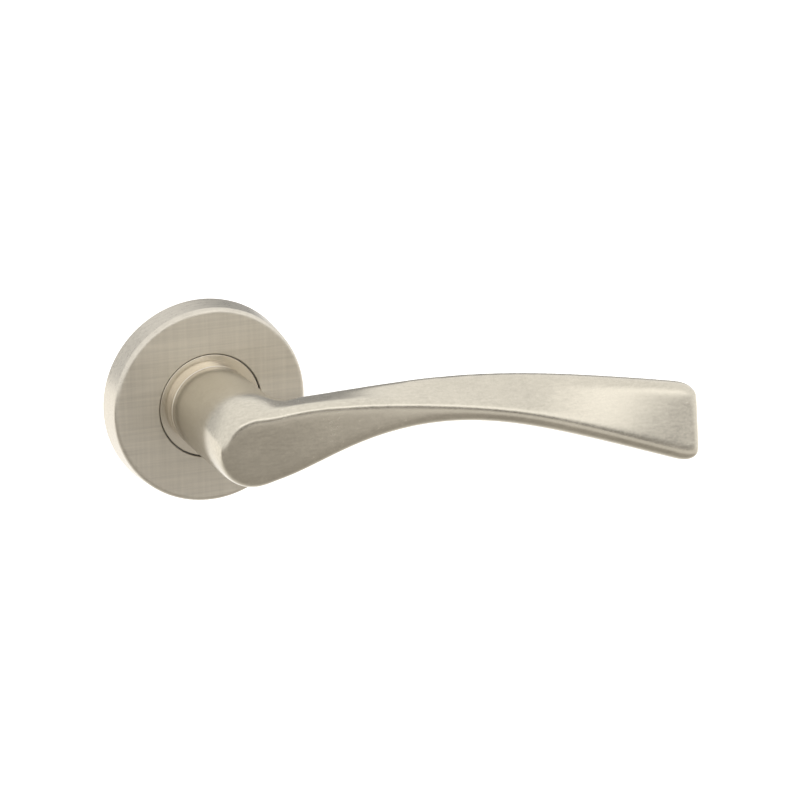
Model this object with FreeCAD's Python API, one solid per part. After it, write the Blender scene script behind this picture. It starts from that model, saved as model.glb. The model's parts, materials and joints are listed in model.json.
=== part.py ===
import FreeCAD, Part
import math
import os

# Door lever handle on a round rose, one half of a pair.
# Millimetres. The door face is the plane y = 0, the front of the handle looks along -Y,
# +X runs along the lever and +Z is up. The origin is on the spindle axis.

# --- gaps shared by several pieces ---------------------------------------------------
SEAT_GAP = 0.02
LOOSE_GAP = 0.1
CUT_PAST = 1.0
TINY = 1e-3

# --- rose cover -------------------------------------------------------------------
ROSE_R = 26.0
ROSE_FRONT_R = 25.3
ROSE_H = 7.5
ROSE_WALL = 1.1
ROSE_EDGE_R = 1.2
ROSE_HOLE_R = 13.6
HOLE_EDGE_R = 0.2

# --- lever ------------------------------------------------------------------------
NECK_R = 11.05
NECK_BACK_Y = -9.7
NECK_TURN_Y = -33.0
FRONT_Y = -44.5
NOSE_R = 9.2
NOSE_SHIFT_X = -0.7
NOSE_SHIFT_Z = -1.0
NOSE_STEPS = 4
FRONT_EXTRA = 1.5
BLEND_R = 8.0
EDGE_R = 1.5
CREST_R = 2.8
BACK_R = 2.6
TIP_X = 121.9
TIP_R = 6.0
TIP_LEAN = 0.10
LEAN_FROM_X = 70.0
LEAN_LENGTH = 40.0
TIP_MID_Z = -9.0
RAIL_Y = FRONT_Y - 0.5

# Each rail is one long edge of the lever, as the few points the curve goes through.
CREST_RAIL = [
    (-2, -35.0, 9.0),
    (10, -35.2, 9.1),
    (20, -35.5, 9.6),
    (32, -36.0, 10.4),
    (48, -36.8, 11.2),
    (70, -37.5, 10.3),
    (95, -38.3, 6.7),
    (112, -38.6, 3.6),
    (128, -38.8, 0.4),
]
RIDGE_RAIL = [
    (-2, RAIL_Y, 6.6),
    (2, RAIL_Y, 8.1),
    (7, RAIL_Y, 9.2),
    (15, RAIL_Y, 9.6),
    (27, RAIL_Y, 8.7),
    (46, RAIL_Y, 5.6),
    (60, RAIL_Y, 2.6),
    (75, RAIL_Y, -1.6),
    (90, RAIL_Y, -7.2),
    (105, RAIL_Y, -13.2),
    (128, RAIL_Y, -20.9),
]
LOWER_RAIL = [
    (-2, RAIL_Y, -10.2),
    (8, RAIL_Y, -8.8),
    (17, RAIL_Y, -5.6),
    (26, RAIL_Y, -2.5),
    (38, RAIL_Y, 0.0),
    (50, RAIL_Y, 0.5),
    (64, RAIL_Y, -1.3),
    (80, RAIL_Y, -5.6),
    (95, RAIL_Y, -10.6),
    (110, RAIL_Y, -15.9),
    (128, RAIL_Y, -22.0),
]
LOW_BACK_RAIL = [
    (-2, -33.0, -9.0),
    (14, -33.5, -6.4),
    (30, -34.5, -2.0),
    (48, -35.5, -0.6),
    (70, -36.3, -4.0),
    (92, -37.5, -10.8),
    (112, -38.2, -17.4),
    (128, -38.4, -22.8),
]
UP_BACK_RAIL = [
    (-2, -31.5, 6.4),
    (25, -32.0, 6.5),
    (50, -32.4, 7.2),
    (75, -32.2, 5.4),
    (100, -32.0, 1.6),
    (128, -31.8, -3.6),
]
RAILS = (CREST_RAIL, RIDGE_RAIL, LOWER_RAIL, LOW_BACK_RAIL, UP_BACK_RAIL)
STATIONS = [0.0, 9.0, 18.0, 28.0, 40.0, 52.0, 64.0, 76.0, 88.0, 99.0, 108.0, 113.0]
TIP_STATIONS = [TIP_X - back for back in (6.0, 4.4, 3.1, 2.0, 1.2, 0.7)]

# --- spigot at the back of the lever, spindle and its screw -------------------------
SPIGOT_R = 8.5
KEYED_R = 7.6
KEYED_FLAT = 6.5
KEYED_FRONT_Y = -5.0
SPIGOT_END_Y = -0.3
GROOVE_R = 6.2
GROOVE_FRONT_Y = -1.45
GROOVE_BACK_Y = -0.65
SPINDLE_SIDE = 8.0
SOCKET_SIDE = 8.1
SOCKET_FRONT_Y = -27.0
SPINDLE_FRONT_Y = -26.0
SPINDLE_BACK_Y = 44.0
SPINDLE_CHAMFER = 0.6
GRUB_Y = -17.0
GRUB_R = 2.5
GRUB_HOLE_R = 2.55
GRUB_LENGTH = 6.2
GRUB_CHAMFER = 0.4
GRUB_HEX_AF = 2.5
GRUB_HEX_DEPTH = 2.5
LEAF_LENGTH = 22.0
LEAF_WIDTH = 3.0
LEAF_THICK = 0.5
LEAF_SLOT_DEPTH = 0.9
LEAF_END_GAP = 0.5
LEAF_BACK_Y = -2.0

# --- collar ring round the neck ------------------------------------------------------
COLLAR_FLANGE_R = 13.35
COLLAR_FLANGE_FRONT_Y = -7.15
COLLAR_SLEEVE_R = 10.95
COLLAR_FRONT_Y = -9.4
COLLAR_BORE_R = 10.0
COLLAR_EDGE_R = 0.25

# --- mounting base -------------------------------------------------------------------
BASE_R = 23.8
BASE_FRONT_Y = -6.2
BASE_FLOOR = 1.2
RIM_INNER_R = 21.6
CHAMBER_R = 15.0
CHAMBER_WALL_R = 16.6
BASE_HOLE_R = 10.0
POST_PITCH = 38.0
POST_BOSS_R = 4.6
WOOD_PITCH = 39.0
WOOD_BOSS_R = 4.2
RIB_THICK = 1.2
RIB_BACK_Y = -0.8
RIB_ANGLES = (22.5, 67.5, 112.5, 157.5, 202.5, 247.5, 292.5, 337.5)
PLATE_SCREW_ANGLES = (45.0, 135.0, 225.0, 315.0)
PLATE_SCREW_PITCH_R = 17.6
PLATE_BOSS_R = 2.4

# --- bearing bush and shim -------------------------------------------------------------
BUSH_BORE_R = 8.55
BUSH_FRONT_Y = -9.2
BUSH_FLANGE_R = 11.3
BUSH_FLANGE_T = 0.6
SHIM_R = 10.2
SHIM_T = 0.25

# --- return spring and its driver -------------------------------------------------------
WIRE_R = 0.4
COIL_R = 12.9
COIL_TURNS = 2.0
COIL_PITCH = 0.9
COIL_FRONT_Y = -4.5
HOOK_PAST = 0.3
SPRING_ANGLE = 90.0
DRIVER_R = 10.3
DRIVER_FRONT_Y = -4.1
DRIVER_BACK_Y = -1.5
ARM_R = 14.6
ARM_FRONT_Y = -2.15
ARM_BACK_Y = -1.5
ARM_HALF_ANGLE = 12.0
LEVER_TRAVEL = 45.0
STOP_GAP_ANGLE = 1.5
BUFFER_ANGLE = 14.0
BUFFER_INNER_R = 13.7
BUFFER_OUTER_R = 15.6

# --- circlip, cover plate and its screws ---------------------------------------------------
CIRCLIP_R = 8.5
CIRCLIP_GAP = 4.2
CIRCLIP_EAR_R = 1.25
CIRCLIP_EAR_Z = 7.9
CIRCLIP_EAR_HOLE_R = 0.5
PLATE_R = 15.6
PLATE_T = 0.55
PLATE_HOLE_R = 9.4
PLATE_EAR_R = 2.1
PLATE_SCREW_R = 0.95
PLATE_SCREW_HEAD_R = 1.6
PLATE_SCREW_LENGTH = 3.4
PLATE_SCREW_HOLE_EXTRA = 0.4
PLATE_RECESS = (0.3, 2.0, -0.35)

# --- fixings through the door -----------------------------------------------------------------
LUG_R = 3.0
LUG_LENGTH = 10.0
LUG_CHAMFER = 0.5
LUG_SEAT_Y = -4.0
LUG_BORE_R = 1.6
LUG_THREAD_R = 2.1
LUG_WEB_FRONT_Y = 1.0
LUG_WEB_BACK_Y = 2.5
LUG_SCREW_R = 1.5
LUG_SCREW_HEAD_R = 3.0
LUG_SCREW_LENGTH = 5.5
LUG_SCREW_POINT = 0.8
WOOD_R = 1.75
WOOD_HEAD_R = 3.4
WOOD_LENGTH = 18.0
WOOD_POINT = 4.0
POINT_SHARE = 0.25
HEAD_SINK = 0.05
RECESS_WIDTH = 0.9
RECESS_SPAN = 1.1
RECESS_DEPTH_SHARE = 0.8

# --- cover clips and door seal -------------------------------------------------------------------
CLIP_ANGLES = (30.0, 150.0, 270.0)
CLIP_T = 0.3
CLIP_WIDTH = 4.4
CLIP_BOW = 0.7
CLIP_FRONT_Y = -5.2
CLIP_BACK_Y = -0.9
SEAL_R = 23.0
SEAL_T = 0.8

Y_AXIS = FreeCAD.Vector(0, 1, 0)


def vec(x, y, z):
    return FreeCAD.Vector(x, y, z)


def cyl(radius, y_front, y_back, x=0.0, z=0.0):
    """A round bar along Y between two planes."""
    return Part.makeCylinder(radius, y_back - y_front, vec(x, y_front, z), Y_AXIS)


def tube(outer, inner, y_front, y_back, x=0.0, z=0.0):
    bore = cyl(inner, y_front - CUT_PAST, y_back + CUT_PAST, x, z)
    return cyl(outer, y_front, y_back, x, z).cut(bore)


def box(x0, x1, y0, y1, z0, z1):
    return Part.makeBox(x1 - x0, y1 - y0, z1 - z0, vec(x0, y0, z0))


def spun(points):
    """A solid turned about the Y axis from an outline of (radius, y) points."""
    loop = [vec(r, y, 0) for r, y in points]
    wire = Part.makePolygon(loop + [loop[0]])
    return Part.Face(wire).revolve(vec(0, 0, 0), Y_AXIS, 360)


def turned(shape, degrees):
    """A copy turned about the spindle axis; +X goes towards +Z."""
    copy = shape.copy()
    copy.rotate(vec(0, 0, 0), Y_AXIS, -degrees)
    return copy


def polar(radius, degrees):
    """(x, z) of a point at this angle from +X towards +Z."""
    angle = math.radians(degrees)
    return radius * math.cos(angle), radius * math.sin(angle)


def merged(shapes):
    return shapes[0].fuse(shapes[1:]).removeSplitter()


def sector(inner, outer, y_front, y_back, centre, half_angle):
    """Part of a ring between two angles."""
    ring = tube(outer, inner, y_front, y_back)
    reach = outer * 2
    start = y_front - CUT_PAST
    xa, za = polar(reach, centre - half_angle)
    xb, zb = polar(reach, centre + half_angle)
    corners = [vec(0, start, 0), vec(xa, start, za), vec(xb, start, zb)]
    wedge = Part.Face(Part.makePolygon(corners + [corners[0]]))
    return ring.common(wedge.extrude(vec(0, y_back - start + CUT_PAST, 0)))


def hexagon(flats, y_front, y_back, x, z):
    reach = flats / math.sqrt(3)
    corners = []
    for k in range(6):
        dx, dz = polar(reach, 60 * k)
        corners.append(vec(x + dx, y_front, z + dz))
    face = Part.Face(Part.makePolygon(corners + [corners[0]]))
    return face.extrude(vec(0, y_back - y_front, 0))


def edges_where(shape, test):
    return [edge for edge in shape.Edges if test(edge)]


def in_plane_y(edge, y):
    """True for an edge that lies wholly in the plane at this y."""
    return abs(edge.BoundBox.YMin - y) < TINY and abs(edge.BoundBox.YMax - y) < TINY


# --- lever --------------------------------------------------------------------------


def rail(points):
    curve = Part.BSplineCurve()
    curve.interpolate([vec(*point) for point in points])
    return curve


def at_x(curve, x):
    """The point of a rail at this x."""
    low, high = curve.FirstParameter, curve.LastParameter
    for _ in range(50):
        middle = 0.5 * (low + high)
        if curve.value(middle).x < x:
            low = middle
        else:
            high = middle
    return curve.value(0.5 * (low + high))


def rounded_loop(points, radii):
    """A closed outline of straight sides, each corner rounded by its own radius."""
    starts = []
    middles = []
    ends = []
    for i, point in enumerate(points):
        to_last = points[i - 1] - point
        to_next = points[(i + 1) % len(points)] - point
        half = 0.5 * to_last.getAngle(to_next)
        to_last.normalize()
        to_next.normalize()
        bisector = to_last + to_next
        bisector.normalize()
        radius = radii[i]
        length = radius / math.tan(half)
        starts.append(point + to_last * length)
        ends.append(point + to_next * length)
        middles.append(point + bisector * (radius / math.sin(half) - radius))
    edges = []
    for i, radius in enumerate(radii):
        if radius > 0:
            edges.append(Part.Arc(starts[i], middles[i], ends[i]).toShape())
        edges.append(Part.makeLine(ends[i], starts[(i + 1) % len(points)]))
    return Part.Wire(edges)


def lever_section(x, rails):
    """The lever's outline at one station: squeezed near the tip, and leaning with its end."""
    points = [at_x(curve, x) for curve in rails]
    heights = [point.z for point in points]
    middle = 0.5 * (max(heights) + min(heights))
    half = 0.5 * (max(heights) - min(heights))
    into_tip = max(0.0, (x - TIP_X + TIP_R) / TIP_R)
    squeeze = 1 - TIP_R * (1 - math.sqrt(1 - into_tip ** 2)) / half
    lean = TIP_LEAN * min(1.0, max(0.0, (x - LEAN_FROM_X) / LEAN_LENGTH))
    moved = []
    for point in points:
        z = middle + (point.z - middle) * squeeze
        moved.append(vec(x + lean * (z - TIP_MID_Z), point.y, z))
    radii = [CREST_R * squeeze, 0, 0, BACK_R * squeeze, BACK_R * squeeze]
    return rounded_loop(moved, radii)


def lever_neck():
    """The round neck, whose front end draws in and shifts on a smooth curve."""
    front = FRONT_Y - FRONT_EXTRA
    rings = []
    for k in range(NOSE_STEPS + 1):
        y = NECK_TURN_Y + (front - NECK_TURN_Y) * k / NOSE_STEPS
        ease = ((y - NECK_TURN_Y) / (FRONT_Y - NECK_TURN_Y)) ** 2
        centre = vec(NOSE_SHIFT_X * ease, y, NOSE_SHIFT_Z * ease)
        radius = NECK_R + (NOSE_R - NECK_R) * ease
        rings.append(Part.Wire(Part.makeCircle(radius, centre, Y_AXIS)))
    nose = Part.makeLoft(rings, True, False)
    return cyl(NECK_R, NECK_TURN_Y, NECK_BACK_Y).fuse(nose)


def faces_with(shape, test):
    return [face for face in shape.Faces if test(face)]


def shared_edges(first, second):
    found = []
    for edge in first.Edges:
        if any(edge.isSame(other) for other in second.Edges):
            found.append(edge)
    return found


def lever_body():
    """Neck and lever as one casting with blended corners."""
    rails = [rail(points) for points in RAILS]
    sections = [lever_section(x, rails) for x in STATIONS + TIP_STATIONS]
    arm = Part.makeLoft(sections, True, False)
    in_front = box(-TIP_X, 2 * TIP_X, 2 * FRONT_Y, FRONT_Y, -ROSE_R, ROSE_R)
    body = lever_neck().fuse(arm).cut(in_front).removeSplitter().Solids[0]
    curved = faces_with(body, lambda f: not isinstance(f.Surface, Part.Plane))
    neck_faces = [f for f in curved if f.BoundBox.XMax < NECK_R + TINY]
    arm_faces = [f for f in curved if f.BoundBox.XMax > NECK_R + TINY]
    corner = [e for a in neck_faces for b in arm_faces for e in shared_edges(a, b)]
    body = body.makeFillet(BLEND_R, corner).Solids[0]
    front = faces_with(body, lambda f: abs(f.BoundBox.YMax - FRONT_Y) < TINY)[0]
    flat_faces = faces_with(body, lambda f: isinstance(f.Surface, Part.Plane))
    end = [f for f in flat_faces if f.BoundBox.XMin > LEAN_FROM_X][0]
    rim = list(front.OuterWire.Edges)
    rim += [e for e in end.Edges if not any(e.isSame(other) for other in rim)]
    return body.makeFillet(EDGE_R, rim).Solids[0]


def spindle_bar(side, y_front, y_back):
    return box(-side / 2, side / 2, y_front, y_back, -side / 2, side / 2)


def keyed_bar(radius, flat, y_front, y_back):
    """A round bar with two flats, left and right."""
    sides = box(-flat, flat, y_front, y_back, -radius, radius)
    return cyl(radius, y_front, y_back).common(sides)


def grub_hole(radius, z_low, z_high):
    return Part.makeCylinder(radius, z_high - z_low, vec(0, GRUB_Y, z_low), vec(0, 0, 1))


def lever_handle():
    spigot = cyl(SPIGOT_R, NECK_BACK_Y - CUT_PAST, KEYED_FRONT_Y)
    keyed = keyed_bar(KEYED_R, KEYED_FLAT, KEYED_FRONT_Y - CUT_PAST, SPIGOT_END_Y)
    groove = tube(KEYED_R + CUT_PAST, GROOVE_R, GROOVE_FRONT_Y, GROOVE_BACK_Y)
    socket = spindle_bar(SOCKET_SIDE, SOCKET_FRONT_Y, CUT_PAST)
    hole = grub_hole(GRUB_HOLE_R, -NECK_R - CUT_PAST, 0)
    body = lever_body().fuse([spigot, keyed.cut(groove)])
    return body.cut([socket, hole]).removeSplitter()


def spindle():
    bar = spindle_bar(SPINDLE_SIDE, SPINDLE_FRONT_Y, SPINDLE_BACK_Y)
    ends = edges_where(bar, lambda e: abs(e.BoundBox.YMax - e.BoundBox.YMin) < TINY)
    bar = bar.makeChamfer(SPINDLE_CHAMFER, ends)
    top = SPINDLE_SIDE / 2
    half_width = LEAF_WIDTH / 2 + LOOSE_GAP
    y_front = LEAF_BACK_Y - LEAF_LENGTH - LEAF_END_GAP
    y_back = LEAF_BACK_Y + LEAF_END_GAP
    slot = box(-half_width, half_width, y_front, y_back, top - LEAF_SLOT_DEPTH, top + CUT_PAST)
    return bar.cut(slot)


def spindle_leaf_spring():
    """A bowed strip in the spindle's top face that takes up play in the socket."""
    seat = SPINDLE_SIDE / 2 - LEAF_SLOT_DEPTH + SEAT_GAP
    crown = SOCKET_SIDE / 2 - LEAF_THICK - SEAT_GAP
    y_front = LEAF_BACK_Y - LEAF_LENGTH
    y_mid = LEAF_BACK_Y - LEAF_LENGTH / 2
    lift = vec(0, 0, LEAF_THICK)
    start = vec(-LEAF_WIDTH / 2, y_front, seat)
    middle = vec(-LEAF_WIDTH / 2, y_mid, crown)
    end = vec(-LEAF_WIDTH / 2, LEAF_BACK_Y, seat)
    edges = [
        Part.Arc(start, middle, end).toShape(),
        Part.makeLine(end, end + lift),
        Part.Arc(end + lift, middle + lift, start + lift).toShape(),
        Part.makeLine(start + lift, start),
    ]
    return Part.Face(Part.Wire(edges)).extrude(vec(LEAF_WIDTH, 0, 0))


def grub_screw():
    """Cup-point set screw, driven up from below against the spindle."""
    top = -SPINDLE_SIDE / 2 - SEAT_GAP
    low = top - GRUB_LENGTH
    body = grub_hole(GRUB_R, low, top)
    rims = edges_where(body, lambda e: abs(e.BoundBox.ZMax - e.BoundBox.ZMin) < TINY)
    body = body.makeChamfer(GRUB_CHAMFER, rims)
    key = hexagon(GRUB_HEX_AF, 0, GRUB_HEX_DEPTH, 0, 0)
    key.rotate(vec(0, 0, 0), vec(1, 0, 0), 90)
    key.translate(vec(0, GRUB_Y, low))
    return body.cut(key)


# --- rose, collar, base ----------------------------------------------------------------


def rose_cover():
    """A pressed cap with a slight draft, a soft front edge and a plain centre hole."""
    draft = (ROSE_R - ROSE_FRONT_R) / ROSE_H
    inner_back = ROSE_R - ROSE_WALL
    inner_front = inner_back - draft * (ROSE_H - ROSE_WALL)
    cap = spun(
        [
            (ROSE_HOLE_R, -ROSE_H),
            (ROSE_FRONT_R, -ROSE_H),
            (ROSE_R, 0),
            (inner_back, 0),
            (inner_front, -ROSE_H + ROSE_WALL),
            (ROSE_HOLE_R, -ROSE_H + ROSE_WALL),
        ]
    )
    middle_r = (ROSE_HOLE_R + ROSE_FRONT_R) / 2
    front = edges_where(cap, lambda e: in_plane_y(e, -ROSE_H))
    outer_rim = [e for e in front if e.BoundBox.XMax > middle_r]
    cap = cap.makeFillet(ROSE_EDGE_R, outer_rim)
    front = edges_where(cap, lambda e: in_plane_y(e, -ROSE_H))
    hole_rim = [e for e in front if e.BoundBox.XMax < middle_r]
    return cap.makeFillet(HOLE_EDGE_R, hole_rim)


def neck_collar():
    """A flat flange inside the rose hole with a short sleeve that meets the neck."""
    ring = spun(
        [
            (COLLAR_BORE_R, COLLAR_FRONT_Y),
            (COLLAR_SLEEVE_R, COLLAR_FRONT_Y),
            (COLLAR_SLEEVE_R, COLLAR_FLANGE_FRONT_Y),
            (COLLAR_FLANGE_R, COLLAR_FLANGE_FRONT_Y),
            (COLLAR_FLANGE_R, BASE_FRONT_Y),
            (COLLAR_BORE_R, BASE_FRONT_Y),
        ]
    )
    flange_rims = edges_where(ring, lambda e: in_plane_y(e, COLLAR_FLANGE_FRONT_Y))
    sleeve_rims = edges_where(ring, lambda e: in_plane_y(e, COLLAR_FRONT_Y))
    outward = [e for e in flange_rims if e.BoundBox.XMax > COLLAR_SLEEVE_R + TINY]
    outward += [e for e in sleeve_rims if e.BoundBox.XMax > COLLAR_BORE_R + TINY]
    return ring.makeFillet(COLLAR_EDGE_R, outward)


def post_spots():
    """(x, z) of the two lugs, level with the spindle."""
    return [(side * POST_PITCH / 2, 0) for side in (-1, 1)]


def wood_screw_spots():
    """(x, z) of the two wood screws, over and under the spindle."""
    return [(0, side * WOOD_PITCH / 2) for side in (-1, 1)]


def plate_screw_spots():
    return [polar(PLATE_SCREW_PITCH_R, angle) for angle in PLATE_SCREW_ANGLES]


def bars_at(spots, radius, y_front, y_back):
    return [cyl(radius, y_front, y_back, x, z) for x, z in spots]


def plate_outline(radius, ear_radius, y_front, y_back):
    ears = bars_at(plate_screw_spots(), ear_radius, y_front, y_back)
    return merged([cyl(radius, y_front, y_back)] + ears)


def clip_seat(angle):
    """Pocket in the base's edge, a little larger than a clip all round."""
    inner = BASE_R - CLIP_T - LOOSE_GAP / 2
    y_front = CLIP_FRONT_Y - LOOSE_GAP
    y_back = CLIP_BACK_Y + LOOSE_GAP
    half_width = CLIP_WIDTH / 2 + LOOSE_GAP
    return turned(box(inner, BASE_R + CUT_PAST, y_front, y_back, -half_width, half_width), angle)


def stop_angles():
    """Middle angles of the two buffers, before and after the driver arm's sweep."""
    beyond = ARM_HALF_ANGLE + STOP_GAP_ANGLE + BUFFER_ANGLE / 2
    return SPRING_ANGLE + beyond, SPRING_ANGLE - LEVER_TRAVEL - beyond


def countersinks(spots, head_r, bore_r):
    """Head seats in the front of the base, for screws whose heads finish flush."""
    depth = head_r - bore_r
    seats = []
    for x, z in spots:
        top = vec(x, BASE_FRONT_Y - TINY, z)
        seats.append(Part.makeCone(head_r + LOOSE_GAP, bore_r + LOOSE_GAP, depth, top, Y_AXIS))
    return seats


def base_plate():
    """Die-cast base: a front wall with a rim, a spring chamber, bosses and ribs behind it."""
    return base_blank().cut(base_bores() + base_pockets()).removeSplitter()


def base_blank():
    floor_back = BASE_FRONT_Y + BASE_FLOOR
    parts = [
        cyl(BASE_R, BASE_FRONT_Y, floor_back),
        tube(BASE_R, RIM_INNER_R, BASE_FRONT_Y, 0),
        tube(CHAMBER_WALL_R, CHAMBER_R, BASE_FRONT_Y, 0),
    ]
    parts += bars_at(post_spots(), POST_BOSS_R, BASE_FRONT_Y, 0)
    parts += bars_at(wood_screw_spots(), WOOD_BOSS_R, BASE_FRONT_Y, 0)
    parts += bars_at(plate_screw_spots(), PLATE_BOSS_R, BASE_FRONT_Y, 0)
    inner = (CHAMBER_R + CHAMBER_WALL_R) / 2
    outer = (RIM_INNER_R + BASE_R) / 2
    rib = box(inner, outer, BASE_FRONT_Y, RIB_BACK_Y, -RIB_THICK / 2, RIB_THICK / 2)
    parts += [turned(rib, angle) for angle in RIB_ANGLES]
    return merged(parts).common(cyl(BASE_R, BASE_FRONT_Y, 0))


def base_bores():
    """The middle hole, the spring's hole and every screw's hole."""
    before = BASE_FRONT_Y - CUT_PAST
    x, z = polar(COIL_R, SPRING_ANGLE)
    bores = [
        cyl(BASE_HOLE_R, before, CUT_PAST),
        cyl(WIRE_R + LOOSE_GAP, before, BASE_FRONT_Y + BASE_FLOOR + CUT_PAST, x, z),
    ]
    bores += bars_at(post_spots(), LUG_R + SEAT_GAP, LUG_SEAT_Y, CUT_PAST)
    bores += bars_at(post_spots(), LUG_BORE_R, before, CUT_PAST)
    bores += bars_at(wood_screw_spots(), WOOD_R + LOOSE_GAP, before, CUT_PAST)
    depth = PLATE_SCREW_LENGTH + PLATE_SCREW_HOLE_EXTRA
    bores += bars_at(plate_screw_spots(), PLATE_SCREW_R + SEAT_GAP, -depth, CUT_PAST)
    bores += countersinks(post_spots(), LUG_SCREW_HEAD_R, LUG_SCREW_R)
    bores += countersinks(wood_screw_spots(), WOOD_HEAD_R, WOOD_R)
    return bores


def base_pockets():
    """Spring chamber, cover plate recess, seal groove and the seats of buffers and clips."""
    floor_back = BASE_FRONT_Y + BASE_FLOOR
    plate_r = PLATE_R + LOOSE_GAP
    ear_r = PLATE_EAR_R + LOOSE_GAP
    seal_gap = LOOSE_GAP / 2
    pockets = [
        cyl(CHAMBER_R, floor_back, CUT_PAST),
        plate_outline(plate_r, ear_r, -PLATE_T - SEAT_GAP, CUT_PAST),
        tube(SEAL_R + seal_gap, SEAL_R - SEAL_T - seal_gap, -SEAL_T, CUT_PAST),
    ]
    seat_r = BUFFER_OUTER_R + SEAT_GAP
    half_angle = BUFFER_ANGLE / 2 + LOOSE_GAP
    for angle in stop_angles():
        pockets.append(sector(CHAMBER_R - CUT_PAST, seat_r, floor_back, CUT_PAST, angle, half_angle))
    return pockets + [clip_seat(angle) for angle in CLIP_ANGLES]


def bearing_bush():
    """Flanged plastic sleeve that the lever's spigot turns in."""
    floor_back = BASE_FRONT_Y + BASE_FLOOR
    sleeve = tube(BASE_HOLE_R - SEAT_GAP, BUSH_BORE_R, BUSH_FRONT_Y, floor_back)
    flange = tube(BUSH_FLANGE_R, BUSH_BORE_R, floor_back, floor_back + BUSH_FLANGE_T)
    return merged([sleeve, flange])


def driver_shim():
    front = BASE_FRONT_Y + BASE_FLOOR + BUSH_FLANGE_T + SEAT_GAP
    return tube(SHIM_R, KEYED_R + LOOSE_GAP, front, front + SHIM_T)


# --- spring cassette --------------------------------------------------------------------


def return_spring():
    """Two coils; one end hooks into the base wall, the other into the driver's arm."""
    height = COIL_PITCH * COIL_TURNS
    helix = Part.makeHelix(COIL_PITCH, height, COIL_R)
    start = vec(COIL_R, 0, 0)
    rise = COIL_PITCH / (2 * math.pi * COIL_R)
    profile = Part.Wire(Part.makeCircle(WIRE_R, start, vec(0, 1, rise)))
    coil = Part.Wire(helix).makePipeShell([profile], True, True)
    coil.rotate(vec(0, 0, 0), vec(1, 0, 0), -90)
    coil.translate(vec(0, COIL_FRONT_Y, 0))
    coil = turned(coil, SPRING_ANGLE)
    x, z = polar(COIL_R, SPRING_ANGLE)
    back = COIL_FRONT_Y + height
    front_hook = cyl(WIRE_R, BASE_FRONT_Y + WIRE_R, COIL_FRONT_Y, x, z)
    back_hook = cyl(WIRE_R, back, ARM_BACK_Y + HOOK_PAST, x, z)
    bends = [Part.makeSphere(WIRE_R, vec(x, y, z)) for y in (COIL_FRONT_Y, back)]
    return merged([coil, front_hook, back_hook] + bends)


def spring_driver():
    """Keyed hub with an arm that winds the spring and runs between the two buffers."""
    hub = cyl(DRIVER_R, DRIVER_FRONT_Y, DRIVER_BACK_Y)
    arm = sector(DRIVER_R - CUT_PAST, ARM_R, ARM_FRONT_Y, ARM_BACK_Y, SPRING_ANGLE, ARM_HALF_ANGLE)
    key_r = KEYED_R + SEAT_GAP
    key = keyed_bar(key_r, KEYED_FLAT + SEAT_GAP, DRIVER_FRONT_Y - CUT_PAST, DRIVER_BACK_Y + CUT_PAST)
    x, z = polar(COIL_R, SPRING_ANGLE)
    hook_hole = cyl(WIRE_R + LOOSE_GAP, ARM_FRONT_Y - CUT_PAST, ARM_BACK_Y + CUT_PAST, x, z)
    return merged([hub, arm]).cut([key, hook_hole])


def stop_buffers():
    """Two rubber blocks let into the chamber wall."""
    floor_back = BASE_FRONT_Y + BASE_FLOOR
    y_back = -PLATE_T - 2 * SEAT_GAP
    blocks = []
    for angle in stop_angles():
        block = sector(BUFFER_INNER_R, BUFFER_OUTER_R, floor_back, y_back, angle, BUFFER_ANGLE / 2)
        blocks.append(block.Solids[0])
    return Part.makeCompound(blocks)


def retaining_circlip():
    """Open ring in the spigot's groove, with two eared ends."""
    front = GROOVE_FRONT_Y + SEAT_GAP
    back = GROOVE_BACK_Y - SEAT_GAP
    half_gap = CIRCLIP_GAP / 2
    ring = tube(CIRCLIP_R, GROOVE_R + SEAT_GAP, front, back)
    gap = box(-half_gap, half_gap, front - CUT_PAST, back + CUT_PAST, 0, CIRCLIP_R * 2)
    spots = [(side * (half_gap + CIRCLIP_EAR_R), CIRCLIP_EAR_Z) for side in (-1, 1)]
    ears = bars_at(spots, CIRCLIP_EAR_R, front, back)
    holes = bars_at(spots, CIRCLIP_EAR_HOLE_R, front - CUT_PAST, back + CUT_PAST)
    return merged([ring.cut(gap)] + ears).cut(holes)


def spring_cover_plate():
    """Thin steel plate that closes the spring chamber, flush with the back of the base."""
    plate = plate_outline(PLATE_R, PLATE_EAR_R, -PLATE_T, 0)
    before = -PLATE_T - CUT_PAST
    cuts = [cyl(PLATE_HOLE_R, before, CUT_PAST)]
    cuts += bars_at(plate_screw_spots(), PLATE_SCREW_R + SEAT_GAP, before, CUT_PAST)
    cuts += [small_head(x, z, SEAT_GAP) for x, z in plate_screw_spots()]
    return plate.cut(cuts)


def small_head(x, z, extra):
    """Countersunk head, wide at the door face and narrow at the plate's front."""
    narrow = PLATE_SCREW_R + extra
    wide = PLATE_SCREW_HEAD_R + extra
    return Part.makeCone(narrow, wide, PLATE_T, vec(x, -PLATE_T, z), Y_AXIS)


def plate_screws():
    width, length, depth = PLATE_RECESS
    screws = []
    for x, z in plate_screw_spots():
        shank = cyl(PLATE_SCREW_R, -PLATE_SCREW_LENGTH, -PLATE_T, x, z)
        screw = merged([shank, small_head(x, z, 0)])
        screws.append(screw.cut(cross_recess(x, z, 0, width, length, depth)).Solids[0])
    return Part.makeCompound(screws)


def cross_recess(x, z, y, width, length, depth):
    """Two crossed slots sunk from the plane y by depth, which is negative towards the front."""
    y0, y1 = sorted((y - math.copysign(CUT_PAST, depth), y + depth))
    half_w = width / 2
    half_l = length / 2
    flat = box(x - half_l, x + half_l, y0, y1, z - half_w, z + half_w)
    tall = box(x - half_w, x + half_w, y0, y1, z - half_l, z + half_l)
    return flat.fuse(tall)


# --- fixings --------------------------------------------------------------------------------


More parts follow.
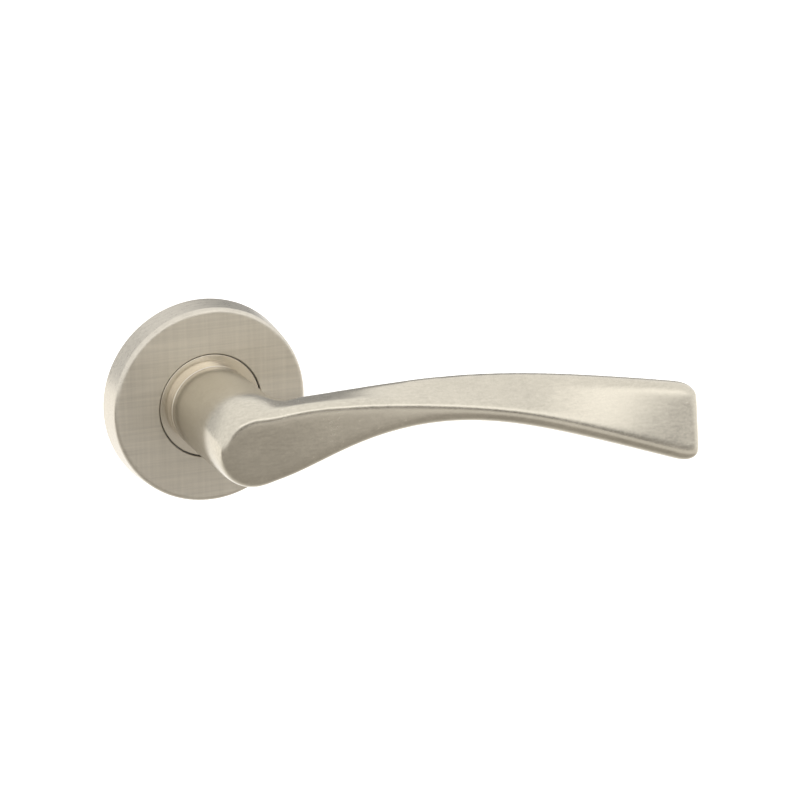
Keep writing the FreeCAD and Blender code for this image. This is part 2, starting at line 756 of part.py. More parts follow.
def fixing_lugs():
    """Two threaded sleeves seated in the base, each with a screw in front and a bolt behind."""
    outline_r = (LUG_R + LUG_BORE_R) / 2
    lugs = []
    for x, z in post_spots():
        screw_bore = cyl(LUG_BORE_R, LUG_SEAT_Y - CUT_PAST, LUG_WEB_FRONT_Y, x, z)
        bolt_bore = cyl(LUG_THREAD_R, LUG_WEB_BACK_Y, LUG_LENGTH + CUT_PAST, x, z)
        lug = cyl(LUG_R, LUG_SEAT_Y, LUG_LENGTH, x, z).cut([screw_bore, bolt_bore])
        tip = edges_where(lug, lambda e: in_plane_y(e, LUG_LENGTH) and e.Curve.Radius > outline_r)
        lugs.append(lug.makeChamfer(LUG_CHAMFER, tip))
    return Part.makeCompound(lugs)


def countersunk_screw(x, z, radius, head_r, length, point):
    """A flat-headed screw from the front of the base, with a cross recess and a tapered end."""
    top = BASE_FRONT_Y + HEAD_SINK
    depth = head_r - radius
    taper_y = top + length - point
    head = Part.makeCone(head_r, radius, depth, vec(x, top, z), Y_AXIS)
    shank = cyl(radius, top + depth, taper_y, x, z)
    end = Part.makeCone(radius, radius * POINT_SHARE, point, vec(x, taper_y, z), Y_AXIS)
    recess = cross_recess(x, z, top, RECESS_WIDTH, head_r * RECESS_SPAN, depth * RECESS_DEPTH_SHARE)
    return merged([head, shank, end]).cut(recess).Solids[0]


def lug_screws():
    size = (LUG_SCREW_R, LUG_SCREW_HEAD_R, LUG_SCREW_LENGTH, LUG_SCREW_POINT)
    return Part.makeCompound([countersunk_screw(x, z, *size) for x, z in post_spots()])


def wood_screws():
    size = (WOOD_R, WOOD_HEAD_R, WOOD_LENGTH, WOOD_POINT)
    return Part.makeCompound([countersunk_screw(x, z, *size) for x, z in wood_screw_spots()])


def cover_clips():
    """Bowed leaf springs in the base's edge that grip the inside of the cover."""
    foot_r = BASE_R - CLIP_T
    crown_r = foot_r + CLIP_BOW
    y_mid = (CLIP_FRONT_Y + CLIP_BACK_Y) / 2
    out = vec(CLIP_T, 0, 0)
    start = vec(foot_r, CLIP_FRONT_Y, -CLIP_WIDTH / 2)
    middle = vec(crown_r, y_mid, -CLIP_WIDTH / 2)
    end = vec(foot_r, CLIP_BACK_Y, -CLIP_WIDTH / 2)
    edges = [
        Part.Arc(start, middle, end).toShape(),
        Part.makeLine(end, end + out),
        Part.Arc(end + out, middle + out, start + out).toShape(),
        Part.makeLine(start + out, start),
    ]
    leaf = Part.Face(Part.Wire(edges)).extrude(vec(0, 0, CLIP_WIDTH))
    return Part.makeCompound([turned(leaf, angle) for angle in CLIP_ANGLES])


def door_seal():
    """Rubber ring let into the back of the base."""
    return tube(SEAL_R, SEAL_R - SEAL_T, -SEAL_T + SEAT_GAP, 0)


NODES = {
    "lever_handle": lever_handle,
    "spindle": spindle,
    "spindle_leaf_spring": spindle_leaf_spring,
    "grub_screw": grub_screw,
    "rose_cover": rose_cover,
    "neck_collar": neck_collar,
    "base_plate": base_plate,
    "bearing_bush": bearing_bush,
    "driver_shim": driver_shim,
    "return_spring": return_spring,
    "spring_driver": spring_driver,
    "stop_buffers": stop_buffers,
    "retaining_circlip": retaining_circlip,
    "spring_cover_plate": spring_cover_plate,
    "plate_screws": plate_screws,
    "fixing_lugs": fixing_lugs,
    "lug_screws": lug_screws,
    "wood_screws": wood_screws,
    "cover_clips": cover_clips,
    "door_seal": door_seal,
}

os.makedirs("parts", exist_ok=True)
for name, make in NODES.items():
    shape = make()
    if not shape.isValid():
        raise SystemExit(name + " is not a valid solid")
    shape.exportStep("parts/" + name + ".step")
    print(name, len(shape.Solids), round(shape.Volume, 1))
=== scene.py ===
import json
import math

import bmesh
import bpy
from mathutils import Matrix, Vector


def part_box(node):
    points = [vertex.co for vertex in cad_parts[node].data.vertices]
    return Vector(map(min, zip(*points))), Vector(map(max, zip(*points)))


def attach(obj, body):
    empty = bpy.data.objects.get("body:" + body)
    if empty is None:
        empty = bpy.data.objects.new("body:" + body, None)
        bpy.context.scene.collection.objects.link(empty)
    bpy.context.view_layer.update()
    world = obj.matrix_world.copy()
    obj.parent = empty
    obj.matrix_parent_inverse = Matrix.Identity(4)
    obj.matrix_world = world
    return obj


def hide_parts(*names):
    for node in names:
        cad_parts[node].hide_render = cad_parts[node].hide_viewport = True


# Metres. The door face is y = 0, the front looks along -Y, the lever runs along +X, +Z is up.

# --- camera -------------------------------------------------------------------------
CAMERA_AZIMUTH = -22.2
CAMERA_ELEVATION = 17.75
CAMERA_DISTANCE = 0.8
CAMERA_TARGET = (0.0467, -0.0193, -0.00065)
CAMERA_LENS = 141.5
SENSOR_WIDTH = 36.0

# --- stage --------------------------------------------------------------------------
FLOOR_Z = -0.40
FLOOR_SIZE = 14.0
FLOOR_FADE = (-0.3, 0.5)
FLOOR_GLOW = (0.02, 1.0)
FRONT_RIGHT_FADE = (0.50, 0.90)
FRONT_RIGHT_GLOW = 0.45
FLOOR_COLOUR = (0.37, 0.35, 0.32)
FLOOR_ROUGHNESS = 0.9
TENT_LEVEL = 1.95
# Colours by the height of the direction: 0 is the horizon and 1 is straight up.
TENT_STOPS = (
    (0.00, (0.20, 0.19, 0.18)),
    (0.10, (0.10, 0.095, 0.09)),
    (0.17, (0.30, 0.30, 0.30)),
    (0.26, (1.00, 1.00, 1.00)),
    (0.36, (1.00, 1.00, 1.00)),
    (0.48, (0.63, 0.63, 0.63)),
    (1.00, (0.62, 0.62, 0.62)),
)
TENT_SIDE = (0.64, 0.64, 0.64)
# Where the front bands and the dim back begin and are full, as the direction's coordinates.
FRONT_X = (-0.35, 0.0)
FRONT_Y = (-0.3, -0.75)
BACK_DIM = 0.38
BACK_RIGHT_DIM = 0.3
BACK_X = (-0.25, 0.15)
BACK_Y = (0.6, 0.85)
BACK_Z = (0.62, 0.42)

# --- finishes: base colours as linear values ----------------------------------------
NICKEL = (0.56, 0.52, 0.437)
BRUSHED_NICKEL = (0.66, 0.615, 0.53)
TURNED_NICKEL = (0.70, 0.645, 0.55)
ZINC_CASTING = (0.42, 0.43, 0.44)
ZINC_PLATE = (0.66, 0.67, 0.66)
SPRING_STEEL = (0.20, 0.19, 0.18)
BLACK_OXIDE = (0.06, 0.06, 0.065)
NYLON = (0.78, 0.77, 0.70)
RUBBER = (0.025, 0.025, 0.027)

# --- lever skin: the casting's corners are linished soft in front of the neck -------
SKIN_GRAIN = 0.00037
SKIN_MERGE = 1e-6
EVEN_FROM_Y = -0.0105
EVEN_PASSES = 4
SOFT_FROM_Y = -0.024
SOFT_STEP_Y = -0.0001
SOFT_PASSES = 60
SOFT_FACTOR = 0.5
SHARP_ANGLE = math.radians(35)

# --- screw threads: places and sizes of the CAD screws ------------------------------
LUG_SPOTS = ((-0.019, 0.0), (0.019, 0.0))
WOOD_SPOTS = ((0.0, -0.0195), (0.0, 0.0195))
PLATE_SCREW_REACH = 0.0176 / math.sqrt(2)
PLATE_CORNERS = ((-1, -1), (-1, 1), (1, -1), (1, 1))
PLATE_SPOTS = tuple((x * PLATE_SCREW_REACH, z * PLATE_SCREW_REACH) for x, z in PLATE_CORNERS)
THREAD_SIDES = 40
THREAD_RIDGE_SIDES = 4
THREAD_RIDGE_SHARE = 0.2
# Piece name, its CAD node, the (x, z) spots, head depth, radius, plain tail and pitch.
THREADS = (
    ("wood_screw_threads", "wood_screws", WOOD_SPOTS, 0.006, 0.00165, 0.0042, 0.0016),
    ("plate_screw_threads", "plate_screws", PLATE_SPOTS, 0.0010, 0.00088, 0.0003, 0.0004),
    ("lug_screw_threads", "lug_screws", LUG_SPOTS, 0.0018, 0.00146, 0.0009, 0.0005),
)

# --- surface patterns ---------------------------------------------------------------
# Each noise pattern's detail and roughness. Every noise averages NOISE_MEAN.
NOISE_MEAN = 0.5
GRAIN_NOISE = (3.0, 0.7)
GRAIN_LINE_NOISE = (2.0, 0.6)
CLOUD_NOISE = (3.0, 0.5)
BRUSH_NOISE = (3.0, 0.65)
CROSSING_NOISE = (2.0, 0.6)
CROSSING_SHARE = 0.5
RING_NOISE = (2.0, 0.6)

# Painted rim shade and polish start and are full at these distances from the axis; none where they
# are far out.
NO_RIM_SHADE_AND_POLISH = (1.0, 1.1)
ROSE_RIM_SHADE_AND_POLISH = (0.0243, 0.0251)
COLLAR_RIM_SHADE_AND_POLISH = (0.0131, 0.01345)
RIM_PATCH_SCALE = 300.0
RIM_PATCH_DETAIL = 2.0
RIM_WOBBLE = 0.0002
# Painted shade: the rim band's colour is made this much darker, standing in for the dark line of
# shade at the rim.
RIM_PAINTED_SHADE = -0.12
RIM_POLISH = 0.35
# How fast the lever's front bows away along +X, and from where it goes on straight.
CROWN_BOW = 1.2
CROWN_END = 0.04

# One row for each material slot: surface pattern, metallic, bump strength and bump distance,
# then the base colour, how far the pattern changes it, roughness and how far it changes that.
FINISHES = (
    ("satin_nickel", "grain", 1.0, 0.12, 0.00002, NICKEL, 0.26, 0.23, 0.1),
    ("brushed_nickel", "brush", 1.0, 0.35, 0.00003, BRUSHED_NICKEL, 0.38, 0.46, 0.25),
    ("turned_nickel", "rings", 1.0, 0.25, 0.00002, TURNED_NICKEL, 0.12, 0.25, 0.08),
    ("die_cast_zinc", "grain", 1.0, 0.5, 0.00004, ZINC_CASTING, 0.2, 0.55, 0.15),
    ("zinc_plated_steel", "grain", 1.0, 0.2, 0.00002, ZINC_PLATE, 0.1, 0.3, 0.12),
    ("spring_steel", "grain", 1.0, 0.15, 0.00001, SPRING_STEEL, 0.2, 0.34, 0.1),
    ("black_oxide_steel", "grain", 0.9, 0.15, 0.00001, BLACK_OXIDE, 0.2, 0.4, 0.1),
    ("white_nylon", "grain", 0.0, 0.15, 0.00002, NYLON, 0.05, 0.5, 0.1),
    ("black_rubber", "grain", 0.0, 0.4, 0.00003, RUBBER, 0.3, 0.75, 0.1),
)
# Bands of painted rim shade, with polish, on the rose and the collar.
RIM_SHADE_AND_POLISH = {"brushed_nickel": ROSE_RIM_SHADE_AND_POLISH, "turned_nickel": COLLAR_RIM_SHADE_AND_POLISH}
# Anisotropy round the spindle axis.
RADIAL_SHINE = {"turned_nickel": 0.65}


# --- small helpers ------------------------------------------------------------------


def new_tree(name):
    material = bpy.data.materials.new(name)
    material.use_nodes = True
    tree = material.node_tree
    return material, tree, tree.nodes["Principled BSDF"]


def add(tree, kind, **values):
    """A node with its properties set; inputs are given by name with spaces as underscores."""
    node = tree.nodes.new(kind)
    for key, value in values.items():
        if hasattr(node, key):
            setattr(node, key, value)
        else:
            node.inputs[key.replace("_", " ")].default_value = value
    return node


def group_tree(name, inputs, outputs):
    """A shader node group with float or colour sockets."""
    tree = bpy.data.node_groups.new(name, "ShaderNodeTree")
    for label, value in inputs.items():
        kind = "NodeSocketColor" if isinstance(value, tuple) else "NodeSocketFloat"
        socket = tree.interface.new_socket(label, in_out="INPUT", socket_type=kind)
        socket.default_value = value
    for label, kind in outputs.items():
        tree.interface.new_socket(label, in_out="OUTPUT", socket_type=kind)
    return tree, tree.nodes.new("NodeGroupInput"), tree.nodes.new("NodeGroupOutput")


def place_group(tree, group, **values):
    node = tree.nodes.new("ShaderNodeGroup")
    node.node_tree = group
    for key, value in values.items():
        node.inputs[key.replace("_", " ")].default_value = value
    return node


# --- shared surface effects ---------------------------------------------------------

SURFACE_OUTPUTS = {
    "Color": "NodeSocketColor",
    "Roughness": "NodeSocketFloat",
    "Height": "NodeSocketFloat",
}
SURFACE_INPUTS = {"Base": (0.7, 0.7, 0.7, 1), "Tone": 0.1, "Roughness": 0.4, "Spread": 0.1}


def arithmetic(tree, operation, first, second, third=None):
    """A maths node whose inputs are sockets or numbers; gives its output socket."""
    node = add(tree, "ShaderNodeMath", operation=operation)
    for index, value in enumerate((first, second, third)):
        if value is None:
            continue
        if isinstance(value, (int, float)):
            node.inputs[index].default_value = value
        else:
            tree.links.new(value, node.inputs[index])
    return node.outputs[0]


def noise(tree, vector, scale, detail, roughness):
    node = add(tree, "ShaderNodeTexNoise", Detail=detail, Roughness=roughness)
    tree.links.new(vector, node.inputs["Vector"])
    tree.links.new(scale, node.inputs["Scale"])
    return node.outputs["Fac"]


def finish_surface(tree, source, result, pattern, height):
    """Colour and roughness that follow a pattern of values about zero."""
    link = tree.links.new
    tone = arithmetic(tree, "MULTIPLY_ADD", pattern, source.outputs["Tone"], 1.0)
    colour = add(tree, "ShaderNodeVectorMath", operation="SCALE")
    link(source.outputs["Base"], colour.inputs[0])
    link(tone, colour.inputs["Scale"])
    spread = source.outputs["Spread"]
    rough = arithmetic(tree, "MULTIPLY_ADD", pattern, spread, source.outputs["Roughness"])
    link(colour.outputs[0], result.inputs["Color"])
    link(rough, result.inputs["Roughness"])
    link(height, result.inputs["Height"])
    return tree


def object_axes(tree):
    coords = tree.nodes.new("ShaderNodeTexCoord")
    axes = tree.nodes.new("ShaderNodeSeparateXYZ")
    tree.links.new(coords.outputs["Object"], axes.inputs[0])
    return coords.outputs["Object"], axes.outputs


def joined_axes(tree, x, y, z=None):
    joined = tree.nodes.new("ShaderNodeCombineXYZ")
    tree.links.new(x, joined.inputs["X"])
    tree.links.new(y, joined.inputs["Y"])
    if z is not None:
        tree.links.new(z, joined.inputs["Z"])
    return joined.outputs[0]


def axis_distance(tree, place):
    """Distance of a point from the spindle axis."""
    flat = add(tree, "ShaderNodeVectorMath", operation="MULTIPLY")
    tree.links.new(place, flat.inputs[0])
    flat.inputs[1].default_value = (1, 0, 1)
    length = add(tree, "ShaderNodeVectorMath", operation="LENGTH")
    tree.links.new(flat.outputs[0], length.inputs[0])
    return length.outputs["Value"]


def blasted_grain_group():
    """Fine even grain of a casting, faint brush lines along it, and a slow cloudiness."""
    inputs = {"Grain Scale": 1500.0, "Cloud Scale": 60.0, "Line Stretch": 0.3, **SURFACE_INPUTS}
    tree, source, result = group_tree("blasted_grain", inputs, SURFACE_OUTPUTS)
    place, axes = object_axes(tree)
    scale = source.outputs["Grain Scale"]
    grain = noise(tree, place, scale, *GRAIN_NOISE)
    along = arithmetic(tree, "MULTIPLY", axes["X"], source.outputs["Line Stretch"])
    stretched = joined_axes(tree, along, axes["Y"], axes["Z"])
    lines = noise(tree, stretched, scale, *GRAIN_LINE_NOISE)
    cloud = noise(tree, place, source.outputs["Cloud Scale"], *CLOUD_NOISE)
    fine = arithmetic(tree, "ADD", grain, lines)
    summed = arithmetic(tree, "ADD", fine, cloud)
    pattern = arithmetic(tree, "ADD", summed, -3 * NOISE_MEAN)
    return finish_surface(tree, source, result, pattern, fine)


def straight_brush_group():
    """Brush lines along X on a flat face, crossed by a few fainter ones."""
    inputs = {"Line Scale": 1300.0, "Line Stretch": 0.03, **SURFACE_INPUTS}
    tree, source, result = group_tree("straight_brush", inputs, SURFACE_OUTPUTS)
    place, axes = object_axes(tree)
    scale = source.outputs["Line Scale"]
    stretch = source.outputs["Line Stretch"]
    along = arithmetic(tree, "MULTIPLY", axes["X"], stretch)
    lines = noise(tree, joined_axes(tree, along, axes["Y"], axes["Z"]), scale, *BRUSH_NOISE)
    upright = arithmetic(tree, "MULTIPLY", axes["Z"], stretch)
    across = joined_axes(tree, axes["X"], axes["Y"], upright)
    crossing = noise(tree, across, scale, *CROSSING_NOISE)
    centring = -CROSSING_SHARE * NOISE_MEAN
    faint = arithmetic(tree, "MULTIPLY_ADD", crossing, CROSSING_SHARE, centring)
    strong = arithmetic(tree, "ADD", lines, -NOISE_MEAN)
    pattern = arithmetic(tree, "ADD", strong, faint)
    return finish_surface(tree, source, result, pattern, pattern)


def turned_rings_group():
    """Fine rings round the spindle axis, as a lathe leaves."""
    inputs = {"Ring Scale": 4200.0, **SURFACE_INPUTS}
    tree, source, result = group_tree("turned_rings", inputs, SURFACE_OUTPUTS)
    place, axes = object_axes(tree)
    ringed = joined_axes(tree, axis_distance(tree, place), axes["Y"])
    rings = noise(tree, ringed, source.outputs["Ring Scale"], *RING_NOISE)
    pattern = arithmetic(tree, "ADD", rings, -NOISE_MEAN)
    return finish_surface(tree, source, result, pattern, pattern)


def crown_group():
    """Height of a surface that bows away gently along +X and goes on straight past the end."""
    inputs = {"Bow": CROWN_BOW, "End": CROWN_END}
    tree, source, result = group_tree("crown", inputs, {"Height": "NodeSocketFloat"})
    axes = object_axes(tree)[1]
    x = axes["X"]
    started = arithmetic(tree, "MAXIMUM", x, 0.0)
    held = arithmetic(tree, "MINIMUM", started, source.outputs["End"])
    doubled = arithmetic(tree, "MULTIPLY", x, 2.0)
    reach = arithmetic(tree, "SUBTRACT", doubled, held)
    curve = arithmetic(tree, "MULTIPLY", held, reach)
    bowed = arithmetic(tree, "MULTIPLY", curve, source.outputs["Bow"])
    height = arithmetic(tree, "MULTIPLY", bowed, -1.0)
    tree.links.new(height, result.inputs["Height"])
    return tree


def rim_shade_and_polish_group():
    """Painted rim shade: the colour is darkened over a band of distances from the axis, as at a
    rim, and the metal is made smoother there.
    """
    start, full = NO_RIM_SHADE_AND_POLISH
    inputs = {
        "Base": (0.7, 0.7, 0.7, 1),
        "Roughness": 0.4,
        "From": start,
        "To": full,
        "Lift": RIM_PAINTED_SHADE,
        "Polish": RIM_POLISH,
    }
    outputs = {"Color": "NodeSocketColor", "Roughness": "NodeSocketFloat"}
    tree, source, result = group_tree("rim_shade_and_polish", inputs, outputs)
    link = tree.links.new
    place = object_axes(tree)[0]
    distance = axis_distance(tree, place)
    patches = add(tree, "ShaderNodeTexNoise", Scale=RIM_PATCH_SCALE, Detail=RIM_PATCH_DETAIL)
    link(place, patches.inputs["Vector"])
    wobble = arithmetic(tree, "MULTIPLY_ADD", patches.outputs["Fac"], RIM_WOBBLE, distance)
    edge = tree.nodes.new("ShaderNodeMapRange")
    edge.interpolation_type = "SMOOTHSTEP"
    link(source.outputs["From"], edge.inputs["From Min"])
    link(source.outputs["To"], edge.inputs["From Max"])
    link(wobble, edge.inputs["Value"])
    mask = edge.outputs["Result"]
    # Painted shade: the colour is scaled down inside the rim band.
    painted_shade = arithmetic(tree, "MULTIPLY_ADD", mask, source.outputs["Lift"], 1.0)
    colour = add(tree, "ShaderNodeVectorMath", operation="SCALE")
    link(source.outputs["Base"], colour.inputs[0])
    link(painted_shade, colour.inputs["Scale"])
    polish = arithmetic(tree, "MULTIPLY", mask, source.outputs["Polish"])
    kept = arithmetic(tree, "SUBTRACT", 1.0, polish)
    rough = arithmetic(tree, "MULTIPLY", source.outputs["Roughness"], kept)
    link(colour.outputs[0], result.inputs["Color"])
    link(rough, result.inputs["Roughness"])
    return tree


# --- materials ----------------------------------------------------------------------


def surfaced(name, groups, metallic, bump, bump_distance, rim, radial, **values):
    """A material of one surface group, with painted rim shade and polish over it and relief from
    its height.
    """
    surface_group, shade_and_polish_group = groups
    material, tree, shader = new_tree(name)
    surface = place_group(tree, surface_group, **values)
    # Painted rim shade darkens the surface colour; the polish lowers its roughness.
    shade_and_polish = place_group(tree, shade_and_polish_group, From=rim[0], To=rim[1])
    relief = add(tree, "ShaderNodeBump", Strength=bump, Distance=bump_distance)
    link = tree.links.new
    link(surface.outputs["Color"], shade_and_polish.inputs["Base"])
    link(surface.outputs["Roughness"], shade_and_polish.inputs["Roughness"])
    link(shade_and_polish.outputs["Color"], shader.inputs["Base Color"])
    link(shade_and_polish.outputs["Roughness"], shader.inputs["Roughness"])
    link(surface.outputs["Height"], relief.inputs["Height"])
    link(relief.outputs["Normal"], shader.inputs["Normal"])
    shader.inputs["Metallic"].default_value = metallic
    if radial:
        tangent = tree.nodes.new("ShaderNodeTangent")
        tangent.direction_type = "RADIAL"
        tangent.axis = "Y"
        link(tangent.outputs["Tangent"], shader.inputs["Tangent"])
        shader.inputs["Anisotropic"].default_value = radial
    return material


def bow_surface(material):
    """The crown's slow bow goes under the material's fine relief."""
    tree = material.node_tree
    crown = place_group(tree, crown_group(), Bow=CROWN_BOW, End=CROWN_END)
    bowed = add(tree, "ShaderNodeBump", Strength=1.0, Distance=1.0)
    relief = tree.nodes["Bump"]
    tree.links.new(crown.outputs["Height"], bowed.inputs["Height"])
    tree.links.new(bowed.outputs["Normal"], relief.inputs["Normal"])


def make_materials():
    """One material for each of the record's material slots."""
    shade_and_polish = rim_shade_and_polish_group()
    surfaces = {
        "grain": blasted_grain_group(),
        "brush": straight_brush_group(),
        "rings": turned_rings_group(),
    }
    look = {}
    for slot, surface, metallic, bump, distance, colour, tone, roughness, spread in FINISHES:
        look[slot] = surfaced(
            slot.replace("_", " "),
            (surfaces[surface], shade_and_polish),
            metallic,
            bump,
            distance,
            RIM_SHADE_AND_POLISH.get(slot, NO_RIM_SHADE_AND_POLISH),
            RADIAL_SHINE.get(slot, 0.0),
            Base=(*colour, 1),
            Tone=tone,
            Roughness=roughness,
            Spread=spread,
        )
    bow_surface(look["satin_nickel"])
    return look


def dress_nodes(frame, materials):
    """Every CAD node gets the material of its slot."""
    for part in frame["record"]["subparts"]:
        node = frame["nodes"][part["node"]]
        node.data.materials.clear()
        node.data.materials.append(materials[part["material_slot"]])


# --- lever skin ---------------------------------------------------------------------


def smooth_before(shape, y, factor):
    """One smoothing pass over the vertices in front of this plane."""
    front = [vertex for vertex in shape.verts if vertex.co.y < y]
    bmesh.ops.smooth_vert(
        shape, verts=front, factor=factor, use_axis_x=True, use_axis_y=True, use_axis_z=True
    )


def even_skin(source):
    """The CAD mesh, merged, as an even mesh of small faces."""
    merged = bmesh.new()
    merged.from_mesh(source.data)
    bmesh.ops.remove_doubles(merged, verts=merged.verts, dist=SKIN_MERGE)
    mesh = bpy.data.meshes.new("lever_skin")
    merged.to_mesh(mesh)
    merged.free()
    skin = bpy.data.objects.new("lever_skin", mesh)
    bpy.context.scene.collection.objects.link(skin)
    remesh = skin.modifiers.new("even", "REMESH")
    remesh.mode = "VOXEL"
    remesh.voxel_size = SKIN_GRAIN
    evaluated = skin.evaluated_get(bpy.context.evaluated_depsgraph_get())
    finished = bpy.data.meshes.new_from_object(evaluated)
    skin.modifiers.clear()
    skin.data = finished
    bpy.data.meshes.remove(mesh)
    return skin


def make_lever_skin(frame, materials):
    """The lever casting with the soft corners that linishing and blasting leave."""
    skin = even_skin(frame["nodes"]["lever_handle"])
    shape = bmesh.new()
    shape.from_mesh(skin.data)
    for _ in range(EVEN_PASSES):
        smooth_before(shape, EVEN_FROM_Y, SOFT_FACTOR)
    for step in range(SOFT_PASSES):
        smooth_before(shape, SOFT_FROM_Y + step * SOFT_STEP_Y, SOFT_FACTOR)
    shape.to_mesh(skin.data)
    shape.free()
    skin.data.shade_smooth()
    skin.data.set_sharp_from_angle(angle=SHARP_ANGLE)
    skin.data.materials.clear()
    skin.data.materials.append(materials["satin_nickel"])
    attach(skin, "lever")
    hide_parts("lever_handle")


# --- screw threads ------------------------------------------------------------------


def thread_tree():
    """Geometry Nodes: a left-handed helical ridge at every vertex of the mesh that carries it."""
    tree = bpy.data.node_groups.new("screw_threads", "GeometryNodeTree")
    tree.interface.new_socket("Geometry", in_out="INPUT", socket_type="NodeSocketGeometry")
    defaults = {"Radius": 0.002, "Length": 0.01, "Turns": 10.0, "Ridge": 0.0003}
    for label, value in defaults.items():
        socket = tree.interface.new_socket(label, in_out="INPUT", socket_type="NodeSocketFloat")
        socket.default_value = value
    tree.interface.new_socket("Material", in_out="INPUT", socket_type="NodeSocketMaterial")
    tree.interface.new_socket("Geometry", in_out="OUTPUT", socket_type="NodeSocketGeometry")
    link = tree.links.new
    source = tree.nodes.new("NodeGroupInput")
    helix = tree.nodes.new("GeometryNodeCurveSpiral")
    helix.inputs["Resolution"].default_value = THREAD_SIDES
    link(source.outputs["Turns"], helix.inputs["Rotations"])
    link(source.outputs["Radius"], helix.inputs["Start Radius"])
    link(source.outputs["Radius"], helix.inputs["End Radius"])
    link(source.outputs["Length"], helix.inputs["Height"])
    ridge = tree.nodes.new("GeometryNodeCurvePrimitiveCircle")
    ridge.inputs["Resolution"].default_value = THREAD_RIDGE_SIDES
    link(source.outputs["Ridge"], ridge.inputs["Radius"])
    swept = tree.nodes.new("GeometryNodeCurveToMesh")
    swept.inputs["Fill Caps"].default_value = True
    link(helix.outputs["Curve"], swept.inputs["Curve"])
    link(ridge.outputs["Curve"], swept.inputs["Profile Curve"])
    laid = tree.nodes.new("GeometryNodeTransform")
    laid.inputs["Rotation"].default_value = (-math.pi / 2, 0, 0)
    link(swept.outputs["Mesh"], laid.inputs["Geometry"])
    placed = tree.nodes.new("GeometryNodeInstanceOnPoints")
    link(source.outputs["Geometry"], placed.inputs["Points"])
    link(laid.outputs["Geometry"], placed.inputs["Instance"])
    real = tree.nodes.new("GeometryNodeRealizeInstances")
    link(placed.outputs["Instances"], real.inputs["Geometry"])
    dressed = tree.nodes.new("GeometryNodeSetMaterial")
    link(real.outputs["Geometry"], dressed.inputs["Geometry"])
    link(source.outputs["Material"], dressed.inputs["Material"])
    result = tree.nodes.new("NodeGroupOutput")
    link(dressed.outputs["Geometry"], result.inputs["Geometry"])
    return tree


def make_thread(name, tree, spots, y_start, sizes, material, body):
    """Threads at these (x, z) spots from y_start backwards, as one plain mesh on a body."""
    mesh = bpy.data.meshes.new(name)
    mesh.from_pydata([(x, y_start, z) for x, z in spots], [], [])
    carrier = bpy.data.objects.new(name, mesh)
    bpy.context.scene.collection.objects.link(carrier)
    modifier = carrier.modifiers.new("threads", "NODES")
    modifier.node_group = tree
    values = {**sizes, "Material": material}
    for item in tree.interface.items_tree:
        if item.in_out == "INPUT" and item.name in values:
            modifier[item.identifier] = values[item.name]
    evaluated = carrier.evaluated_get(bpy.context.evaluated_depsgraph_get())
    finished = bpy.data.meshes.new_from_object(evaluated)
    carrier.modifiers.clear()
    carrier.data = finished
    bpy.data.meshes.remove(mesh)
    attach(carrier, body)


def make_threads(materials):
    """Threads on the shanks of the wood screws, lug screws and cover plate screws."""
    tree = thread_tree()
    steel = materials["zinc_plated_steel"]
    for name, node, spots, head, radius, tail, pitch in THREADS:
        front, back = (corner[1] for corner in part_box(node))
        start = front + head
        length = back - tail - start
        sizes = {
            "Radius": radius,
            "Length": length,
            "Turns": length / pitch,
            "Ridge": pitch * THREAD_RIDGE_SHARE,
        }
        make_thread(name, tree, spots, start, sizes, steel, "rose")


# --- stage, lights and camera -------------------------------------------------------


def look_from(obj, place, target):
    obj.location = place
    aim = Vector(target) - Vector(place)
    obj.rotation_euler = aim.to_track_quat("-Z", "Y").to_euler()


def axis_fade(tree, axes, axis, low, high):
    """0 to 1 as a coordinate on this axis goes from low to high."""
    fade = tree.nodes.new("ShaderNodeMapRange")
    fade.interpolation_type = "SMOOTHSTEP"
    fade.inputs["From Min"].default_value = low
    fade.inputs["From Max"].default_value = high
    tree.links.new(axes[axis], fade.inputs["Value"])
    return fade.outputs["Result"]


def make_floor():
    """A pale sheet with a glow: full behind the handle, faint in front, more at the front right."""
    mesh = bpy.data.meshes.new("floor")
    half = FLOOR_SIZE / 2
    corners = [
        (-half, -half, FLOOR_Z),
        (half, -half, FLOOR_Z),
        (half, half, FLOOR_Z),
        (-half, half, FLOOR_Z),
    ]
    mesh.from_pydata(corners, [], [(0, 1, 2, 3)])
    floor = bpy.data.objects.new("floor", mesh)
    bpy.context.scene.collection.objects.link(floor)
    material, tree, shader = new_tree("pale floor")
    axes = object_axes(tree)[1]
    behind = axis_fade(tree, axes, "Y", *FLOOR_FADE)
    front, back = FLOOR_GLOW
    glow = arithmetic(tree, "MULTIPLY_ADD", behind, back - front, front)
    right = axis_fade(tree, axes, "X", *FRONT_RIGHT_FADE)
    in_front = arithmetic(tree, "SUBTRACT", 1.0, behind)
    extra = arithmetic(tree, "MULTIPLY", right, in_front)
    glow = arithmetic(tree, "MULTIPLY_ADD", extra, FRONT_RIGHT_GLOW, glow)
    tree.links.new(glow, shader.inputs["Emission Strength"])
    shader.inputs["Base Color"].default_value = (*FLOOR_COLOUR, 1)
    shader.inputs["Roughness"].default_value = FLOOR_ROUGHNESS
    shader.inputs["Emission Color"].default_value = (1, 1, 1, 1)
    mesh.materials.append(material)


def ramp_node(tree, stops):
    """A colour ramp from (position, colour) stops."""
    ramp = tree.nodes.new("ShaderNodeValToRGB")
    ramp.color_ramp.interpolation = "EASE"
    elements = ramp.color_ramp.elements
    while len(elements) < len(stops):
        elements.new(0.5)
    for element, (position, colour) in zip(elements, stops):
        element.position = position
        element.color = (*colour, 1)
    return ramp


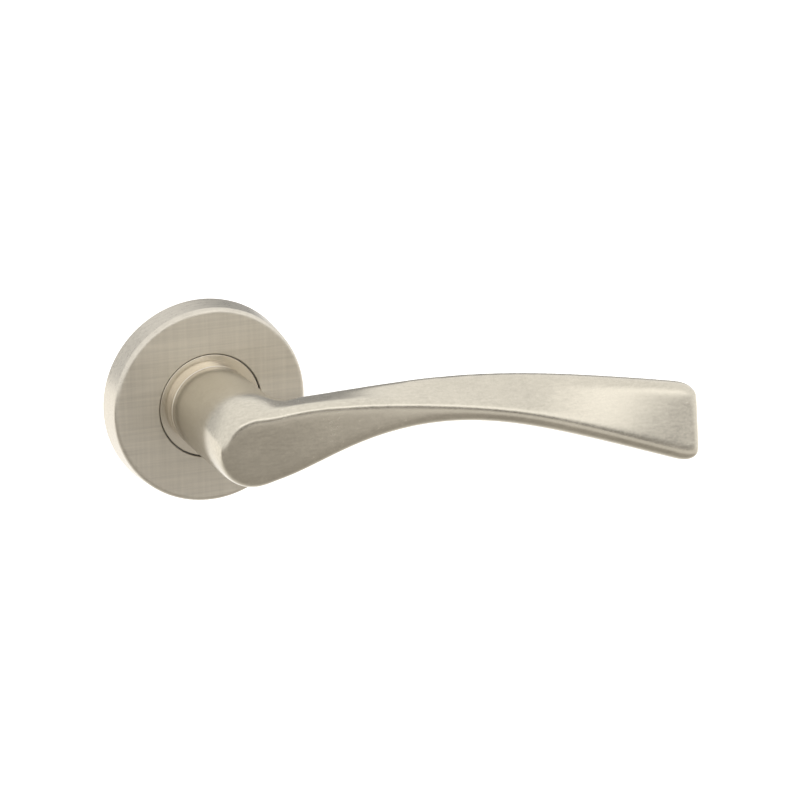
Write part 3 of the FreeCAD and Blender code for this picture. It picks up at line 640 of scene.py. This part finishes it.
def make_studio_light():
    """A light tent: banded by height in front, plain at the sides, dimmer low at the back."""
    world = bpy.data.worlds.new("light tent")
    world.use_nodes = True
    tree = world.node_tree
    link = tree.links.new
    coords = tree.nodes.new("ShaderNodeTexCoord")
    parts = tree.nodes.new("ShaderNodeSeparateXYZ")
    link(coords.outputs["Generated"], parts.inputs[0])
    axes = parts.outputs
    ramp = ramp_node(tree, TENT_STOPS)
    link(axes["Z"], ramp.inputs["Fac"])
    ahead = axis_fade(tree, axes, "Y", *FRONT_Y)
    not_left = axis_fade(tree, axes, "X", *FRONT_X)
    mixed = tree.nodes.new("ShaderNodeMixRGB")
    mixed.inputs["Color1"].default_value = (*TENT_SIDE, 1)
    link(arithmetic(tree, "MULTIPLY", ahead, not_left), mixed.inputs["Fac"])
    link(ramp.outputs["Color"], mixed.inputs["Color2"])
    behind = axis_fade(tree, axes, "Y", *BACK_Y)
    low = axis_fade(tree, axes, "Z", *BACK_Z)
    back = arithmetic(tree, "MULTIPLY", behind, low)
    right = axis_fade(tree, axes, "X", *BACK_X)
    dim = arithmetic(tree, "MULTIPLY_ADD", right, BACK_RIGHT_DIM, BACK_DIM)
    kept = arithmetic(tree, "SUBTRACT", 1.0, arithmetic(tree, "MULTIPLY", back, dim))
    level = arithmetic(tree, "MULTIPLY", kept, TENT_LEVEL)
    background = tree.nodes["Background"]
    link(mixed.outputs["Color"], background.inputs["Color"])
    link(level, background.inputs["Strength"])
    bpy.context.scene.world = world


def make_camera():
    azimuth = math.radians(CAMERA_AZIMUTH)
    elevation = math.radians(CAMERA_ELEVATION)
    back = Vector(
        (
            math.sin(azimuth) * math.cos(elevation),
            -math.cos(azimuth) * math.cos(elevation),
            math.sin(elevation),
        )
    )
    data = bpy.data.cameras.new("camera")
    data.lens = CAMERA_LENS
    data.sensor_width = SENSOR_WIDTH
    camera = bpy.data.objects.new("camera", data)
    bpy.context.scene.collection.objects.link(camera)
    look_from(camera, Vector(CAMERA_TARGET) + back * CAMERA_DISTANCE, CAMERA_TARGET)
    bpy.context.scene.camera = camera


with open("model.json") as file:
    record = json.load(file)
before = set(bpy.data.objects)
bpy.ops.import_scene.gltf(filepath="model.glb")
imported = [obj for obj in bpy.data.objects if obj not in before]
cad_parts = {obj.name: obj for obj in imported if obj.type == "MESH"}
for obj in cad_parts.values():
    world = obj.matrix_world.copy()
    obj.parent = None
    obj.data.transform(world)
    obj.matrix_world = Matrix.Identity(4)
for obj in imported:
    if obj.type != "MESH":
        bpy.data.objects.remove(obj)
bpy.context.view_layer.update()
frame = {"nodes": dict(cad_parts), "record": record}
materials = make_materials()
dress_nodes(frame, materials)
make_lever_skin(frame, materials)
make_threads(materials)
make_floor()
make_studio_light()
make_camera()
bpy.context.scene.view_settings.view_transform = "Standard"
